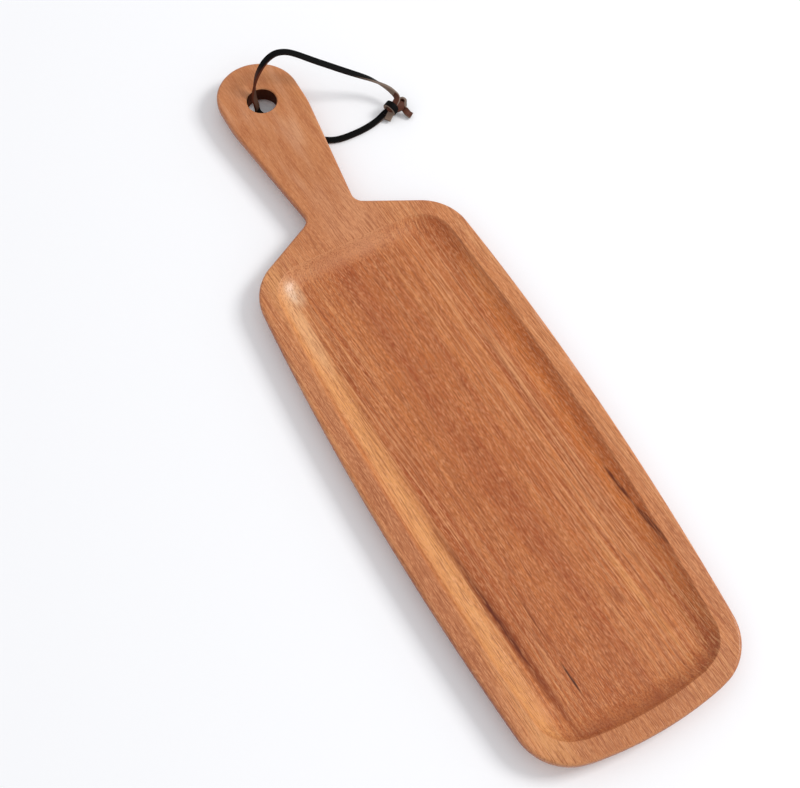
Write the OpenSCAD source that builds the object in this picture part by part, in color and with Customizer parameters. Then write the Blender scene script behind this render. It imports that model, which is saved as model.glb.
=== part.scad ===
// Serving board with a carved tray and a leather hanging lace.
// The board is one solid oak plank. It lies along Y with the handle towards +Y and its top up.
// The origin is under the middle of the board, on the surface that it stands on.

/* [Board] */
// Whole length, from the tip of the handle to the far end
board_l = 635; // [560:5:720]
// Thickness of the plank
board_t = 18; // [15:0.5:24]
// Width at the widest place, halfway along the tray
body_w = 192; // [180:1:230]
// Width between the two shoulder corners, before they are rounded
shoulder_w = 177; // [150:1:180]
// Width between the two corners of the far end, before they are rounded
end_w = 170; // [150:1:180]
// How far the middle of the far end stands out past its corners
end_bow = 12.5; // [2:0.5:25]
// Corner radius of the shoulders
shoulder_r = 42; // [15:1:50]
// Corner radius of the far end
end_r = 41; // [20:1:48]

/* [Handle] */
// Length of the handle, from its tip to the corner where the shoulder starts
handle_l = 165; // [130:1:200]
// Width of the round head, and radius of its end
head_w = 69.5; // [56:0.5:80]
// How far the head keeps its full width, measured from the tip
head_l = 57; // [45:1:75]
// Width of the neck, where the handle meets the shoulders
neck_w = 41.5; // [32:0.5:55]
// How far the shoulder corner lies below the neck
shoulder_drop = 35; // [15:1:50]
// Radius of the inside corner between neck and shoulder
neck_r = 10; // [5:0.5:16]
// Radius of the easy bend where the head starts to narrow
head_bend_r = 120; // [40:5:150]
// Wood taken off under the handle, so that fingers and the lace go beneath it
relief_h = 3; // [2.8:0.1:5]
// Length of the hollow ramp that ends this relief
ramp_l = 26; // [10:1:35]

/* [Hanging hole] */
// Diameter of the bored hole
hole_d = 25; // [22:0.5:30]
// Distance of the hole's centre from the tip of the handle
hole_from_tip = 41; // [36:0.5:48]
// Width of the small bevel round both mouths of the hole
hole_bevel = 0.8; // [0.3:0.1:1.5]

/* [Edges] */
// Radius of the rounded top edge
top_r = 2.5; // [1:0.1:4]
// Height of the upright part of the edge, from the top down
band_h = 7; // [5:0.5:9]
// How far the slanting underside of the edge draws in
bevel_w = 9.5; // [4:0.5:14]
// Radius where the upright part turns into the slant
bevel_r = 5; // [1:0.5:7]
// Radius where the slant turns into the flat underside
foot_r = 3; // [1:0.5:5]

/* [Tray] */
// Depth of the tray
tray_depth = 9; // [5:0.5:11]
// Width of the rim beside the tray
rim_w = 14.5; // [10:0.5:20]
// Width of the rim at the far end
end_rim_w = 15; // [10:0.5:22]
// Distance from the neck corner to the near edge of the tray
tray_setback = 33; // [24:1:60]
// Radius of the cove that joins the tray's wall to its floor
cove_r = 24; // [14:1:30]
// Corner radius of the tray on the shoulder side
tray_top_r = 29; // [24:1:40]
// Corner radius of the tray at the far end
tray_end_r = 27; // [22:1:34]
// Width of the softened lip between the tray and the rim
lip_w = 0.6; // [0.2:0.1:1.5]

/* [Leather lace] */
// Width of the flat lace
lace_w = 5.5; // [3:0.1:6]
// Thickness of the lace
lace_t = 2.2; // [1:0.1:2.4]
// Size of the bevel along the lace's edges
lace_edge = 0.4; // [0.2:0.1:0.5]

/* [Knot] */
// Radius of the turn that the lace makes round the knot, at the middle of its thickness
turn_r = 5.2; // [4.8:0.1:6]
// Length of the knot's packed core
core_l = 17; // [12:0.5:19]
// Thickness of the knot's packed core
core_t = 9.6; // [8:0.2:11]

/* [Hidden] */
overrun = 2;

// Steps of the drawn curves
head_steps = 14;
bend_steps = 3;
neck_steps = 5;
shoulder_steps = 9;
end_steps = 9;
side_steps = 12;
bow_steps = 8;
cove_steps = 8;
ramp_steps = 6;
edge_steps = 3;
turn_steps = 20;

// Distances from the tip of the handle, and the curves of the sides and the far end
head_r = head_w / 2;
shoulder_from_tip = handle_l + shoulder_drop;
corner_from_tip = board_l - end_bow;
side_bow = body_w / 2 - (shoulder_w + end_w) / 4;
hole_y = board_l / 2 - hole_from_tip;
tray_from_tip = handle_l + tray_setback;
tray_floor_z = board_t - tray_depth;
relief_from_tip = handle_l - neck_r;

// Share of a corner's radius, on both sides of it, where the corner's arc replaces the points of the curves
corner_reach_share = 0.8;

// Share of the way from the shoulder corner to the far corner
function side_share(d) = (d - shoulder_from_tip) / (corner_from_tip - shoulder_from_tip);

// Half width of the body at a distance from the tip, with the gentle bow of its sides
function side_x(d) = let (s = side_share(d))
    (shoulder_w + (end_w - shoulder_w) * s) / 2 + side_bow * (1 - pow(2 * s - 1, 2));

// Distance of the far end from the tip, at a half width
function end_from_tip(x) = board_l - end_bow * pow(2 * x / end_w, 2);

// Small helpers for points
function unit(v) = v / norm(v);
function turned(v, a) = [v.x * cos(a) - v.y * sin(a), v.x * sin(a) + v.y * cos(a)];
function flat_point(row) = [row[0], row[1]];

// Points of the arc that rounds one corner of a path
function corner_arc(before, at, after, r, steps) =
    let (
        u = unit(before - at),
        v = unit(after - at),
        half = acos(u * v) / 2,
        centre = at + unit(u + v) * r / sin(half),
        start = at + u * r / tan(half) - centre,
        turn = (180 - 2 * half) * (cross(u, v) > 0 ? -1 : 1)
    )
    [for (k = [0 : steps]) centre + turned(start, turn * k / steps)];

// A path whose rows are [x, y, corner radius, steps], with its corners rounded
function rounded(rows) = [
    for (i = [0 : len(rows) - 1])
        let (row = rows[i])
        each row[2] == 0 ? [flat_point(row)]
            : corner_arc(flat_point(rows[i - 1]), flat_point(row), flat_point(rows[i + 1]), row[2], row[3])
];

// Half of the board's outline as [half width, distance from the tip], from the tip to the far end
board_half = rounded(concat(
    [for (k = [0.5 : head_steps])
        let (a = 90 * k / head_steps) [head_r * sin(a), head_r * (1 - cos(a)), 0, 0]],
    [
        [head_r, head_r, 0, 0],
        [head_r, head_l, head_bend_r, bend_steps],
        [neck_w / 2, handle_l, neck_r, neck_steps],
        [shoulder_w / 2, shoulder_from_tip, shoulder_r, shoulder_steps]
    ],
    [for (k = [1 : side_steps - 1])
        let (d = shoulder_from_tip + (corner_from_tip - shoulder_from_tip) * k / side_steps)
        if (d > shoulder_from_tip + shoulder_r * corner_reach_share)
            if (d < corner_from_tip - end_r * corner_reach_share) [side_x(d), d, 0, 0]],
    [[end_w / 2, corner_from_tip, end_r, end_steps]],
    [for (k = [bow_steps - 0.5 : -1 : 0])
        let (x = end_w / 2 * k / bow_steps)
        if (x < end_w / 2 - end_r * corner_reach_share) [x, end_from_tip(x), 0, 0]]
));

// Half of the tray's outline at the rim, inside the board's outline
tray_end_from_tip = corner_from_tip - end_rim_w;
cove_w = sqrt(tray_depth * (2 * cove_r - tray_depth));
tray_near_r = max(tray_top_r, cove_w + lip_w);
tray_far_r = max(tray_end_r, cove_w + lip_w);
tray_end_w = end_w - 2 * rim_w;
tray_half = rounded(concat(
    [
        [0, tray_from_tip, 0, 0],
        [side_x(tray_from_tip) - rim_w, tray_from_tip, tray_near_r, shoulder_steps]
    ],
    [for (k = [1 : side_steps - 1])
        let (d = tray_from_tip + (tray_end_from_tip - tray_from_tip) * k / side_steps)
        if (d > tray_from_tip + tray_near_r)
            if (d < tray_end_from_tip - tray_far_r * corner_reach_share) [side_x(d) - rim_w, d, 0, 0]],
    [[side_x(tray_end_from_tip) - rim_w, tray_end_from_tip, tray_far_r, end_steps]],
    [for (k = [bow_steps - 0.5 : -1 : 0])
        let (x = tray_end_w / 2 * k / bow_steps)
        if (x < tray_end_w / 2 - tray_far_r * corner_reach_share) [x, end_from_tip(x) - end_rim_w, 0, 0]]
));

// A whole outline in the board's own place, from its right half.
// A point on the centre line only guides the corner next to it, and is left out.
function whole(half) = let (right = [for (p = half) if (p.x > 0) [p.x, board_l / 2 - p.y]]) concat(
    right,
    [for (i = [len(right) - 1 : -1 : 0]) [-right[i].x, right[i].y]]
);

// The outline drawn in by one amount all round
function inward(p, q) = let (t = unit(q - p)) [t.y, -t.x];
function inset(loop, by) =
    let (n = len(loop))
    [for (i = [0 : n - 1])
        let (a = inward(loop[(i + n - 1) % n], loop[i]), b = inward(loop[i], loop[(i + 1) % n]))
        loop[i] + by * (a + b) / (1 + a * b)];

// Profile of the board's edge as [drawn in, height], from the top face to the underside
edge_rings = rounded([
    [bevel_w + foot_r, board_t, 0, 0],
    [0, board_t, top_r, edge_steps],
    [0, board_t - band_h, bevel_r, edge_steps],
    [bevel_w, 0, foot_r, edge_steps],
    [bevel_w + foot_r, 0, 0, 0]
]);

// Profile of the tray as [drawn in, height]: its softened lip, the cove and the floor
cove_a = acos(1 - tray_depth / cove_r);
tray_rings = concat(
    [[-lip_w, board_t + overrun], [-lip_w, board_t], [0, board_t - lip_w]],
    [for (k = [1 : cove_steps])
        let (a = cove_a * (1 - k / cove_steps))
        [cove_w - cove_r * sin(a), tray_floor_z + cove_r * (1 - cos(a))]]
);

// A solid that follows an outline, drawn in as its rings say, from its top ring down.
// Its flat ends are closed by strips that run across from the right half to the left.
module loft(loop, rings) {
    n = len(loop);
    last = len(rings) - 1;
    base = last * n;
    polyhedron(
        points = [for (r = rings) for (p = inset(loop, r[0])) [p.x, p.y, r[1]]],
        faces = concat(
            [for (i = [0 : n / 2 - 2]) [i, i + 1, n - 1 - i]],
            [for (i = [0 : n / 2 - 2]) [i + 1, n - 2 - i, n - 1 - i]],
            [for (i = [0 : n / 2 - 2]) [base + i + 1, base + i, base + n - 1 - i]],
            [for (i = [0 : n / 2 - 2]) [base + n - 2 - i, base + i + 1, base + n - 1 - i]],
            [for (k = [0 : last - 1]) for (i = [0 : n - 1]) [k * n + i, (k + 1) * n + i, (k + 1) * n + (i + 1) % n]],
            [for (k = [0 : last - 1]) for (i = [0 : n - 1]) [k * n + i, (k + 1) * n + (i + 1) % n, k * n + (i + 1) % n]]
        )
    );
}

// The bored hole with a small bevel at both mouths
module hanging_hole() {
    handle_t = board_t - relief_h;
    translate([0, hole_y, relief_h])
        rotate_extrude($fn = 96)
            polygon([
                [0, -overrun],
                [hole_d / 2 + hole_bevel, -overrun],
                [hole_d / 2 + hole_bevel, 0],
                [hole_d / 2, hole_bevel],
                [hole_d / 2, handle_t - hole_bevel],
                [hole_d / 2 + hole_bevel, handle_t],
                [hole_d / 2 + hole_bevel, handle_t + overrun],
                [0, handle_t + overrun]
            ]);
}

// The wood taken off under the handle, ending in a hollow ramp under the shoulders
module handle_relief() {
    relief_y = board_l / 2 - relief_from_tip;
    translate([-body_w / 2, 0, 0])
        rotate([90, 0, 90])
            linear_extrude(height = body_w)
                polygon(concat(
                    [[board_l / 2 + overrun, -overrun], [board_l / 2 + overrun, relief_h]],
                    [for (k = [0 : ramp_steps])
                        let (s = k / ramp_steps) [relief_y - ramp_l * s, relief_h * (1 - s * s)]],
                    [[relief_y - ramp_l, -overrun]]
                ));
}

module board() {
    color("#c98a5c")
        difference() {
            loft(whole(board_half), edge_rings);
            loft(whole(tray_half), tray_rings);
            hanging_hole();
            handle_relief();
        }
}

// Section of the lace as [across its width, across its thickness], with bevelled edges
lace_section = [
    [lace_w / 2, lace_t / 2 - lace_edge],
    [lace_w / 2 - lace_edge, lace_t / 2],
    [lace_edge - lace_w / 2, lace_t / 2],
    [-lace_w / 2, lace_t / 2 - lace_edge],
    [-lace_w / 2, lace_edge - lace_t / 2],
    [lace_edge - lace_w / 2, -lace_t / 2],
    [lace_w / 2 - lace_edge, -lace_t / 2],
    [lace_w / 2, lace_edge - lace_t / 2]
];

// Routes of the lace. A row is [x, y, z, direction in plan of the lace's width, its roll], in degrees.
// x and y are measured from the hole's centre, and z from the surface under the board.
// A row with no roll lies with the smooth side of the leather up.
upper_route = [
    [-4.7, 0.3, 10, 35], [-4.8, 0.3, 12.5, 35], [-4.9, 1.5, 15.5, 38], [-4.6, 4.6, 19, 44],
    [-2.8, 7.9, 23.5, 52], [-0.5, 10.4, 28, 60], [2.5, 12.6, 32.6, 68], [6.3, 14.3, 37.1, 76],
    [10.8, 15.9, 40.9, 84], [16.4, 17, 44, 88], [22.3, 17.2, 45.8, 89], [28, 16.2, 45.8, 84],
    [33.3, 14.2, 44.8, 75], [38.8, 10.8, 42.9, 65], [45.2, 6.1, 40.1, 57], [52.8, 0.6, 36.6, 54],
    [61.1, -5, 32.8, 55], [69.4, -10.4, 28.8, 56], [76.9, -14.8, 25, 57, 4], [84.1, -18.9, 21.4, 56, 14],
    [90.1, -22.5, 18.3, 54, 30], [94.8, -26.6, 15.8, 49, 50], [98.6, -30.7, 13.9, 40, 70],
    [101.4, -35, 12.6, 26, 88], [102.9, -38.7, 11.8, 12, 101], [103.5, -41.2, 11.4, 6, 108]
];
lower_route = [
    [-4.7, 0.3, 10, 35], [-4.7, 0.2, 8.6, 35], [-4.2, -0.9, 6, 35], [-2.5, -3.4, 3.4, 35],
    [1, -7.3, 1.7, 35], [6, -13, 1.3, 34], [11, -20.5, 1.3, 34], [16, -28, 1.3, 35],
    [21, -35.5, 1.3, 37], [26.4, -42.6, 1.3, 43], [32.5, -48.6, 1.3, 55], [39.7, -52.7, 1.3, 70],
    [47.8, -54.5, 1.3, 81], [56, -54.9, 1.3, 90], [64, -54.8, 1.3, 96], [72, -54, 1.3, 101],
    [80, -52.4, 1.5, 106], [84.4, -51.1, 1.9, 108], [87, -50.2, 2.4, 108], [88.6, -49.8, 2.8, 107]
];

// Middles of the knot's core and of the turn round it
core_at = [100, -50.7, 6.9];
turn_at = [95.4, -50, 7.2];
core_round = -10;

// Both ends of the lace inside the knot, and what shows of them past it: the bend and two cut tails
upper_end_route = [
    [103.5, -41.2, 11.4, 6, 108], [103.86, -42.7, 11.16, 0, 114], [103.5, -45, 11.3, -18, 132],
    [102.2, -47.6, 11.7, -38, 154], [99.4, -49.9, 11.5, -55, 171], [96, -51.4, 9.5, -63, 178]
];
lower_end_route = [[88.6, -49.8, 2.8, 107], [90.2, -49.4, 3.2, 107], [94.6, -49.4, 5.2, 100]];
tail_one_route = [
    [101.6, -49.4, 6.2, 110, 90], [104.9, -47.2, 7.4, 110, 90], [107.6, -47.4, 8.3, 75, 90],
    [108.9, -49.9, 8.1, 20, 90], [107.7, -52.6, 7, -20, 90], [106, -54.5, 5.7, 0, 126],
    [106.3, -57.1, 4, 24, 160], [107.4, -59.5, 2.6, 33, 177], [108.8, -61.6, 2, 36, 180]
];
tail_two_route = [[97.6, -51.6, 6.4, 124], [93.6, -53, 4.8, 128], [90.8, -54.6, 3.1, 130], [88.4, -56.4, 2.2, 130]];

// The lace swept along places, with a direction across it at each. A closed sweep joins its ends.
module sweep(at, across, closed = false) {
    n = len(at);
    m = len(lace_section);
    runs = closed ? n : n - 1;
    ways = [for (i = [0 : n - 1]) closed ? unit(at[(i + 1) % n] - at[(i + n - 1) % n])
        : unit(at[min(i + 1, n - 1)] - at[max(i - 1, 0)])];
    polyhedron(
        points = [
            for (i = [0 : n - 1])
                let (way = ways[i], wide = unit(across[i] - way * (across[i] * way)), thick = cross(way, wide))
                for (s = lace_section) at[i] + wide * s[0] + thick * s[1]
        ],
        faces = concat(
            closed ? [] : [for (j = [1 : m - 2]) [0, j, j + 1]],
            closed ? [] : [for (j = [1 : m - 2]) [(n - 1) * m, (n - 1) * m + j + 1, (n - 1) * m + j]],
            [for (i = [0 : runs - 1]) for (j = [0 : m - 1])
                [i * m + j, (i + 1) % n * m + (j + 1) % m, i * m + (j + 1) % m]],
            [for (i = [0 : runs - 1]) for (j = [0 : m - 1])
                [i * m + j, (i + 1) % n * m + j, (i + 1) % n * m + (j + 1) % m]]
        )
    );
}

// One stretch of lace along its route, placed from the hole's centre
module lace(route) {
    sweep(
        [for (r = route) [r[0], hole_y + r[1], r[2]]],
        [for (r = route)
            let (roll = len(r) > 4 ? r[4] : 0)
            [cos(r[3]) * cos(roll), sin(r[3]) * cos(roll), -sin(roll)]]
    );
}

// One turn of the lace round the knot, whose axis points up by one angle and round in plan by another
module turn_of_lace(up, round) {
    axis = [cos(up) * cos(round), cos(up) * sin(round), sin(up)];
    u = unit(cross(axis, [0, 0, 1]));
    v = cross(axis, u);
    sweep(
        [for (k = [0 : turn_steps - 1])
            let (a = 360 * k / turn_steps) turn_r * (cos(a) * u + sin(a) * v)],
        [for (k = [0 : turn_steps - 1]) axis],
        closed = true
    );
}

module thong_upper() {
    color("#2b1b17") lace(upper_route);
}

module thong_lower() {
    color("#2b1b17") lace(lower_route);
}

module thong_knot() {
    color("#3a241d")
        union() {
            translate([0, hole_y, 0] + core_at)
                rotate([0, 0, core_round])
                    scale([core_l, core_t, core_t])
                        sphere(d = 1, $fn = 12);
            translate([0, hole_y, 0] + turn_at)
                turn_of_lace(up = 8, round = 23);
            lace(upper_end_route);
            lace(lower_end_route);
            lace(tail_one_route);
            lace(tail_two_route);
        }
}

board();
thong_upper();
thong_lower();
thong_knot();
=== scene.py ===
# %% [markdown]
# # An oiled oak serving board with a leather lace
#
# The object has two physical pieces: one plank of red oak, carved and sanded, and one leather lace
# tied through the hole in its handle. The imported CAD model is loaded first, as a fixed frame. It says
# where everything is, and every piece made here takes the place of a CAD node or of a part of one.

# %% Load the fixed frame
import math
import bpy
import bmesh
from mathutils import Matrix, Vector


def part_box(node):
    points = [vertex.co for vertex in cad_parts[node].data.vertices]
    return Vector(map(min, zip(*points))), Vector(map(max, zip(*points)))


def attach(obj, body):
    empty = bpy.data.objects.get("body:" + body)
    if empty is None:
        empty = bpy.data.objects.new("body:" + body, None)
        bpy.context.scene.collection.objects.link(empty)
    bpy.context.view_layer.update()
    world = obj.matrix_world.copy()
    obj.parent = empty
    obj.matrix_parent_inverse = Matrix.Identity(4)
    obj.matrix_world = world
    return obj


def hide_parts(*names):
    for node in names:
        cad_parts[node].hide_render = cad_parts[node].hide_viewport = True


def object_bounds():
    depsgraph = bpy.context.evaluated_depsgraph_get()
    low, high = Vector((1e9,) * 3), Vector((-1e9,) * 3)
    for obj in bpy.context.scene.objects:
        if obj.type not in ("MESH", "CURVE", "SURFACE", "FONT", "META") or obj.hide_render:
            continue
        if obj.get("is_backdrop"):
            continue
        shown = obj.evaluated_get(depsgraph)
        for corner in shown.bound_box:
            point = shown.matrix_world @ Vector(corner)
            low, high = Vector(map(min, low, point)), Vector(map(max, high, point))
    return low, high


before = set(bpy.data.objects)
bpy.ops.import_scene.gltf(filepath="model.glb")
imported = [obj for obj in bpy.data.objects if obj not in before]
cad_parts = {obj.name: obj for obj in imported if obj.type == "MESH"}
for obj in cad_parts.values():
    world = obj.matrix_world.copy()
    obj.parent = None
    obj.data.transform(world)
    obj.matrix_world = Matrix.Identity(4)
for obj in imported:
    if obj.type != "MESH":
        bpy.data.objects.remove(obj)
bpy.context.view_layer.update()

MM = 0.001

# %% [markdown]
# ## The camera
#
# The photograph looks down on the board at a steep angle, from beside its far end. A long lens keeps the
# sides nearly parallel. The camera is placed as a photographer would place it: a point to aim at, a
# direction to stand in, a distance in metres, and a small roll. Each of these can be changed by itself, as
# the numbers of a matrix can't. The focal length is for a sensor 36 mm wide.

# %% Camera
AIM = Vector((-0.0298, -0.0128, 0.009))
AZIMUTH = math.radians(-32.0)
ELEVATION = math.radians(63.25)
ROLL = math.radians(3.14)
DISTANCE = 1.0123
FOCAL_MM, SENSOR_MM = 60.75, 36.0


def camera_from(aim, azimuth, elevation, roll, distance):
    away = Vector((math.sin(azimuth) * math.cos(elevation),
                   -math.cos(azimuth) * math.cos(elevation),
                   math.sin(elevation)))
    turn = away.to_track_quat("Z", "Y").to_matrix().to_4x4() @ Matrix.Rotation(roll, 4, "Z")
    return Matrix.Translation(aim + away * distance) @ turn


camera = bpy.data.objects.new("camera", bpy.data.cameras.new("camera"))
camera.data.lens = FOCAL_MM
camera.data.sensor_width = SENSOR_MM
camera.matrix_world = camera_from(AIM, AZIMUTH, ELEVATION, ROLL, DISTANCE)
bpy.context.scene.collection.objects.link(camera)
bpy.context.scene.camera = camera
print("camera at", [round(v, 3) for v in camera.matrix_world.translation])

# %% [markdown]
# ## The lace's route
#
# A lace is a fixed length of leather, so its route comes before its shape. It stands up out of the hole,
# arches over to the knot, and comes back along the table and under the handle. A row holds a place from
# the hole's centre in millimetres, the direction in plan of the lace's width in degrees, and how far it
# has rolled over. With no roll it lies with its smooth side up, and near the knot it shows its back. Rows
# given one by one were preferred to a simulation, because the loop has to lie as it does in the photograph.

# %% Routes of the lace
HOLE_Y = 276.5
UPPER_ROUTE = [
    (-4.7, 0.3, 10, 35, 0), (-4.8, 0.3, 12.5, 35, 0), (-4.9, 1.5, 15.5, 38, 0), (-4.6, 4.6, 19, 44, 0),
    (-2.8, 7.9, 23.5, 52, 0), (-0.5, 10.4, 28, 60, 0), (2.5, 12.6, 32.6, 68, 0), (6.3, 14.3, 37.1, 76, 0),
    (10.8, 15.9, 40.9, 84, 0), (16.4, 17, 44, 88, 0), (22.3, 17.2, 45.8, 89, 0), (28, 16.2, 45.8, 84, 0),
    (33.3, 14.2, 44.8, 75, 0), (38.8, 10.8, 42.9, 65, 0), (45.2, 6.1, 40.1, 57, 0),
    (52.8, 0.6, 36.6, 54, 0), (61.1, -5, 32.8, 55, 0), (69.4, -10.4, 28.8, 56, 0),
    (76.9, -14.8, 25, 57, 4), (84.1, -18.9, 21.4, 56, 14), (90.1, -22.5, 18.3, 54, 30),
    (94.8, -26.6, 15.8, 49, 50), (98.6, -30.7, 13.9, 40, 70), (101.4, -35, 12.6, 26, 88),
    (102.9, -38.7, 11.8, 12, 101), (103.5, -41.2, 11.4, 6, 108),
]
LOWER_ROUTE = [
    (-4.7, 0.3, 10, 35, 0), (-4.7, 0.2, 8.6, 35, 0), (-4.2, -0.9, 6, 35, 0), (-2.5, -3.4, 3.4, 35, 0),
    (1, -7.3, 1.7, 35, 0), (6, -13, 1.3, 34, 0), (11, -20.5, 1.3, 34, 0), (16, -28, 1.3, 35, 0),
    (21, -35.5, 1.3, 37, 0), (26.4, -42.6, 1.3, 43, 0), (32.5, -48.6, 1.3, 55, 0),
    (39.7, -52.7, 1.3, 70, 0), (47.8, -54.5, 1.3, 81, 0), (56, -54.9, 1.3, 90, 0),
    (64, -54.8, 1.3, 96, 0), (72, -54, 1.3, 101, 0), (80, -52.4, 1.5, 106, 0),
    (84.4, -51.1, 1.9, 108, 0), (87, -50.2, 2.4, 108, 0), (88.6, -49.8, 2.8, 107, 0),
]


def place(row):
    """A row's place in metres."""
    return Vector((row[0], row[1] + HOLE_Y, row[2])) * MM


def run_length(places):
    return sum((b - a).length for a, b in zip(places, places[1:]))


for name, route in (("upper", UPPER_ROUTE), ("lower", LOWER_ROUTE)):
    print(name, "stretch of lace, m:", round(run_length([place(r) for r in route]), 4))

# %% [markdown]
# ## Helpers for colours and nodes
#
# Colours are written as they look on a screen, in sRGB hex, and one function turns them to the linear
# values that a shader works in. Nodes could be placed by hand in the editor, but written in code a material
# can be read and changed line by line. One small function adds a node with its settings and links.

# %% Colours and nodes
def linear(hex_colour):
    parts = [int(hex_colour[i:i + 2], 16) / 255 for i in (1, 3, 5)]
    return [c / 12.92 if c <= 0.04045 else ((c + 0.055) / 1.055) ** 2.4 for c in parts] + [1.0]


def add(tree, kind, inputs, out=0, **settings):
    """Add one node, set it up and fill its inputs with values or links. Gives one of its outputs."""
    node = tree.nodes.new("ShaderNode" + kind)
    for key, value in settings.items():
        setattr(node, key, value)
    for key, value in inputs.items():
        if isinstance(value, bpy.types.NodeSocket):
            tree.links.new(value, node.inputs[key])
        else:
            node.inputs[key].default_value = value
    return node.outputs[out]


print("middle grey, in linear values:", round(linear("#808080")[0], 3))

# %% [markdown]
# ## Helpers for materials, meshes and objects
#
# A finish is a colour, a relief and a few plain values, such as its gloss. A shape is worked out as a
# bmesh, a mesh that is easy to build face by face. It is then stored as mesh data, and an object shows that
# data in the scene.

# %% Materials, meshes and objects
def new_material(name):
    """Gives a new material, its node tree and its shader."""
    material = bpy.data.materials.new(name)
    material.use_nodes = True
    return material, material.node_tree, material.node_tree.nodes["Principled BSDF"]


def dress(tree, shader, colour, height, strength, depth_mm, values, invert=False):
    """Link a colour and a relief into a shader, and set its plain values."""
    relief = add(tree, "Bump", {"Strength": strength, "Distance": depth_mm * MM, "Height": height},
                 invert=invert)
    tree.links.new(colour, shader.inputs["Base Color"])
    tree.links.new(relief, shader.inputs["Normal"])
    for socket, value in values.items():
        shader.inputs[socket].default_value = value


def stored(name, mesh):
    """Store a finished bmesh as mesh data."""
    data = bpy.data.meshes.new(name)
    mesh.to_mesh(data)
    mesh.free()
    return data


def new_object(name, data):
    piece = bpy.data.objects.new(name, data)
    bpy.context.scene.collection.objects.link(piece)
    return piece


# %% [markdown]
# ## The board's outline
#
# A maker draws half of the board, from the tip of the handle to the far end, and mirrors it: a round head,
# a handle that narrows to the neck, sloping shoulders, gently bowed sides and a bowed far end. Every other
# size follows from these. Names with AT are distances from the tip of the handle.

# %% Sizes of the board, in mm
LENGTH = 635.0
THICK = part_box("board")[1].z / MM
BODY_W, SHOULDER_W, END_W, END_BOW = 192.0, 177.0, 170.0, 12.5
SHOULDER_R, END_R = 42.0, 41.0
HANDLE_L, HEAD_W, HEAD_L, NECK_W, NECK_R, HEAD_BEND_R = 165.0, 69.5, 57.0, 41.5, 10.0, 120.0
SHOULDER_DROP = 35.0
RELIEF_H, RAMP_L = 3.0, 26.0
HOLE_D, HOLE_BEVEL = 25.0, 0.8
TRAY_DEPTH, RIM_W, END_RIM_W, TRAY_SETBACK, COVE_R = 9.0, 14.5, 15.0, 33.0, 24.0
TRAY_TOP_R, TRAY_END_R, LIP_R = 29.0, 27.0, 0.9

HEAD_R, HOLE_R = HEAD_W / 2, HOLE_D / 2
SHOULDER_AT = HANDLE_L + SHOULDER_DROP
CORNER_AT = LENGTH - END_BOW
SIDE_BOW = BODY_W / 2 - (SHOULDER_W + END_W) / 4
TRAY_AT = HANDLE_L + TRAY_SETBACK
TRAY_END_AT = CORNER_AT - END_RIM_W
print("board", round(LENGTH), "x", round(BODY_W), "x", round(THICK), "mm")

# %% [markdown]
# ## Arcs at the corners
#
# A bandsaw can't follow a sharp corner, and a sanded board has none. So a path is written as its corners,
# each with a radius, and the arcs are worked out from them. A bevel modifier could round them too, but with
# one width for all. The same function rounds the profiles of the edge and of the tray further on.

# %% Round the corners of a path
def corner(before, at, after, radius, steps):
    """The arc that rounds one corner of a path."""
    before, at, after = Vector(before), Vector(at), Vector(after)
    u, v = (before - at).normalized(), (after - at).normalized()
    half = u.angle(v) / 2
    centre = at + (u + v).normalized() * radius / math.sin(half)
    start = at + u * radius / math.tan(half) - centre
    turn = (math.pi - 2 * half) * (-1 if u.x * v.y - u.y * v.x > 0 else 1)
    return [centre + Matrix.Rotation(turn * k / steps, 2) @ start for k in range(steps + 1)]


def rounded(rows):
    """A path whose rows are (x, y) or (x, y, corner radius, steps), with its corners rounded."""
    path = []
    for i, row in enumerate(rows):
        if len(row) > 2:
            path += corner(rows[i - 1][:2], row[:2], rows[i + 1][:2], *row[2:])
        else:
            path.append(Vector(row))
    return path


print("one arc in 16 steps:", len(corner((0, 20), (0, 0), (20, 0), NECK_R, 16)), "points")

# %% [markdown]
# ## Bowed sides and a bowed end
#
# The sides and the far end are very flat bows. They could be arcs of very large circles, but a parabola
# looks the same on so flat a bow and is one line of code. The bows stop short of the corners, where the
# arcs take over.

# %% Bows of the sides and of the far end
SIDE_STEPS, BOW_STEPS = 60, 36


def side_x(d):
    """Half width of the body at a distance from the tip of the handle."""
    s = (d - SHOULDER_AT) / (CORNER_AT - SHOULDER_AT)
    return (SHOULDER_W + (END_W - SHOULDER_W) * s) / 2 + SIDE_BOW * (1 - (2 * s - 1) ** 2)


def end_at(x):
    """Distance of the far end from the tip, at a half width."""
    return LENGTH - END_BOW * (2 * x / END_W) ** 2


def side(inset_by, low, high, low_reach, high_reach):
    """The bowed side between two corners, drawn in by a rim, without what the corners' arcs replace."""
    steps = [low + (high - low) * k / SIDE_STEPS for k in range(1, SIDE_STEPS)]
    return [(side_x(d) - inset_by, d) for d in steps if low + low_reach < d < high - high_reach]


def far_end(half_width, inset_by, reach):
    """The bowed far end from its corner to the middle, without what the corner's arc replaces."""
    steps = [half_width * (k + 0.5) / BOW_STEPS for k in range(BOW_STEPS - 1, -1, -1)]
    return [(x, end_at(x) - inset_by) for x in steps if x < half_width - reach]


print("the sides bow out by", round(SIDE_BOW, 2), "mm and the far end by", END_BOW, "mm")

# %% [markdown]
# ## Half of the board and half of the tray
#
# Both halves run from the middle of the handle end to the middle of the far end. The tray has an outline of
# its own: its sides and far end keep a rim inside the board's, and its near end is straight. No point lies
# on the middle line, so the mirrored halves share none.

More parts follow.
